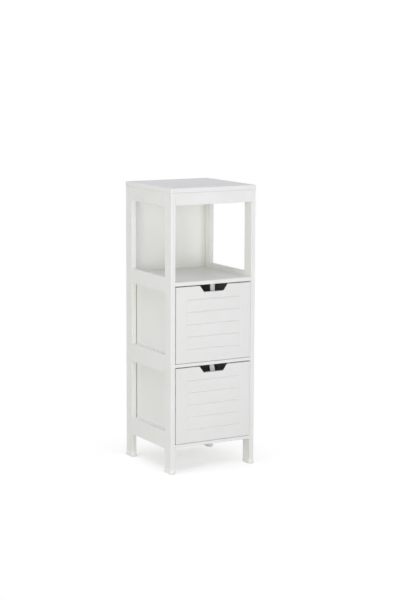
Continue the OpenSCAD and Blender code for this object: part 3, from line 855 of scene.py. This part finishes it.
def mill_grooves(bm, lo, hi):
    """V-grooves in the front face: cut lines first, then the middle points pushed in."""
    middle_x, middle_z = (lo.x + hi.x) / 2, (lo.z + hi.z) / 2
    levels = [middle_z + (i - (GROOVES - 1) / 2) * GROOVE_PITCH for i in range(GROOVES)]
    half_l, half_w = GROOVE_LENGTH / 2, GROOVE_WIDTH / 2
    across = [level + step for level in levels for step in (-half_w, 0, half_w)]
    along = [
        middle_x + side * (half_l + step)
        for side in (-1, 1)
        for step in (-END_LINE_WIDTH / 2, 0, END_LINE_WIDTH / 2, half_w)
    ]
    plan = [((0, 0, z), (0, 0, 1)) for z in across] + [((x, 0, 0), (1, 0, 0)) for x in along]
    for point, normal in plan:
        face_parts = [face for face in bm.faces if abs(face.calc_center_median().y - lo.y) < NEAR]
        edges = {edge for face in face_parts for edge in face.edges}
        verts = {vert for face in face_parts for vert in face.verts}
        bmesh.ops.bisect_plane(
            bm, geom=[*verts, *edges, *face_parts], plane_co=point, plane_no=normal
        )
    for vert in bm.verts:
        if abs(vert.co.y - lo.y) > NEAR:
            continue
        past_end = abs(vert.co.x - middle_x) - half_l
        depth = 0
        if any(abs(vert.co.z - level) < NEAR for level in levels) and past_end < half_w:
            depth = GROOVE_DEPTH * (1 - max(0, past_end) / half_w)
        if abs(past_end) < NEAR and levels[0] - NEAR < vert.co.z < levels[-1] + NEAR:
            depth = max(depth, END_LINE_DEPTH)
        vert.co.y += depth


def drawer_front(level):
    """One drawer front, in its place."""
    node = f"{level}_drawer_front"
    lo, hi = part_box(node)
    bm = bmesh.new()
    front_outline(bm, lo, hi)
    grown = bmesh.ops.extrude_face_region(bm, geom=bm.faces[:])["geom"]
    moved = [vert for vert in grown if isinstance(vert, bmesh.types.BMVert)]
    bmesh.ops.translate(bm, vec=(0, lo.y - hi.y, 0), verts=moved)
    middle = (lo.x + hi.x) / 2
    for vert in moved:
        if vert.co.z > lo.z + NEAR and abs(vert.co.x - middle) < hi.x - middle - NEAR:
            vert.co.x -= math.copysign(GRIP_FLARE, vert.co.x - middle)
    round_edges(bm, edges_on(bm, y=lo.y), FRONT_EDGE_R, segments=4)
    round_edges(bm, edges_on(bm, y=hi.y), FRONT_REAR_R, segments=2)
    mill_grooves(bm, lo, hi)
    return dress(f"{node}_milled", bm, node)


DRAWERS = ("upper", "lower")
for level in DRAWERS:
    drawer_front(level)

# %% [markdown]
# ## Foot caps
#
# Each post stands in a moulded plastic cap, a little wider at its base. A rounded outline of the
# post is drawn once, and its rim is then extruded and scaled up ring by ring, like a lofted
# shape: out at the base, in towards the sleeve, over the top and down inside to the floor.

# %% Foot caps
CAP_CORNER_R = 5 * MM
CAP_RINGS = [
    (0.0, 0.0),
    (0.3, 0.9),
    (0.9, 1.7),
    (1.8, 2.2),
    (2.8, 2.4),
    (7.0, 2.4),
    (8.3, 2.2),
    (9.8, 1.6),
    (11.5, 1.25),
    (17.5, 1.2),
    (18.0, 0.8),
    (18.0, 0.2),
    (3.0, 0.2),
]


def foot_cap(node, post):
    """A cap lofted round a post. A ring is its height and how far it stands off, in mm."""
    lo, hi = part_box(post)
    middle, half = (lo + hi) / 2, (hi - lo) / 2
    bm = bmesh.new()
    bmesh.ops.create_grid(bm, x_segments=1, y_segments=1, size=1)
    first = CAP_RINGS[0][1] * MM
    bmesh.ops.scale(bm, vec=(half.x + first, half.y + first, 1), verts=bm.verts)
    bmesh.ops.translate(bm, vec=(middle.x, middle.y, 0), verts=bm.verts)
    bmesh.ops.bevel(
        bm,
        geom=bm.verts[:],
        offset=CAP_CORNER_R,
        offset_type="OFFSET",
        affect="VERTICES",
        segments=5,
        profile=0.5,
        material=-1,
    )
    rim = [edge for edge in bm.edges if edge.is_boundary]
    stands_off, height = first, 0
    for ring_height, ring_off in CAP_RINGS[1:]:
        grown = bmesh.ops.extrude_edge_only(bm, edges=rim)["geom"]
        verts = [part for part in grown if isinstance(part, bmesh.types.BMVert)]
        rim = [
            part
            for part in grown
            if isinstance(part, bmesh.types.BMEdge) and all(v in verts for v in part.verts)
        ]
        scale_x = (half.x + ring_off * MM) / (half.x + stands_off)
        scale_y = (half.y + ring_off * MM) / (half.y + stands_off)
        about = Matrix.Translation((-middle.x, -middle.y, 0))
        bmesh.ops.scale(bm, vec=(scale_x, scale_y, 1), space=about, verts=verts)
        bmesh.ops.translate(bm, vec=(0, 0, ring_height * MM - height), verts=verts)
        stands_off, height = ring_off * MM, ring_height * MM
    bmesh.ops.contextual_create(bm, geom=rim)
    return dress(f"{node}_moulded", bm, node)


for end in ("front", "rear"):
    for side in SIDES:
        foot_cap(f"{end}_{side}_foot_cap", f"{end}_{side}_post")

# %% [markdown]
# ## Drawer stops
#
# A stop is a small moulded tab, screwed under a board behind each front. Moulded plastic has soft
# edges throughout, so every edge over a set angle is rounded, apart from the screw holes, whose
# edges are too short to take it. The lower drawer's tab has been bent in use and leans to one
# side, so its points below the base slide over with their depth.

# %% Drawer stops
STOP_EDGE_R = 0.4 * MM
STOP_SHORTEST_EDGE = 1.5 * MM
STOP_BASE = 4 * MM
STOP_PIVOT = 13 * MM
STOP_LEANS = {"upper": 0, "lower": math.radians(14)}


def drawer_stop(node, lean):
    """A stop with soft edges, whose tab leans. The longer edges of its walls are rounded."""
    bm = merged_copy(node)
    top_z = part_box(node)[1].z
    long_edges = [
        edge
        for edge in bm.edges
        if edge.calc_length() > STOP_SHORTEST_EDGE and edge.calc_face_angle(0) > RIM_ANGLE
    ]
    round_edges(bm, long_edges, STOP_EDGE_R, segments=3)
    for vert in bm.verts:
        depth = top_z - vert.co.z
        if depth > STOP_BASE:
            vert.co.x += math.tan(lean) * (depth - STOP_PIVOT)
    return dress(f"{node}_moulded", bm, node)


for level, lean in STOP_LEANS.items():
    drawer_stop(f"{level}_drawer_stop", lean)

# %% [markdown]
# ## Drawer boxes
#
# The boxes behind the fronts are plain foil-wrapped board. Their upper edges are rounded in the
# construction already, so the copies only ease the cut ends.

# %% Drawer boxes
for level in DRAWERS:
    for part in ("left_side", "right_side", "back"):
        ease(f"{level}_drawer_{part}", radius=0.3 * MM)
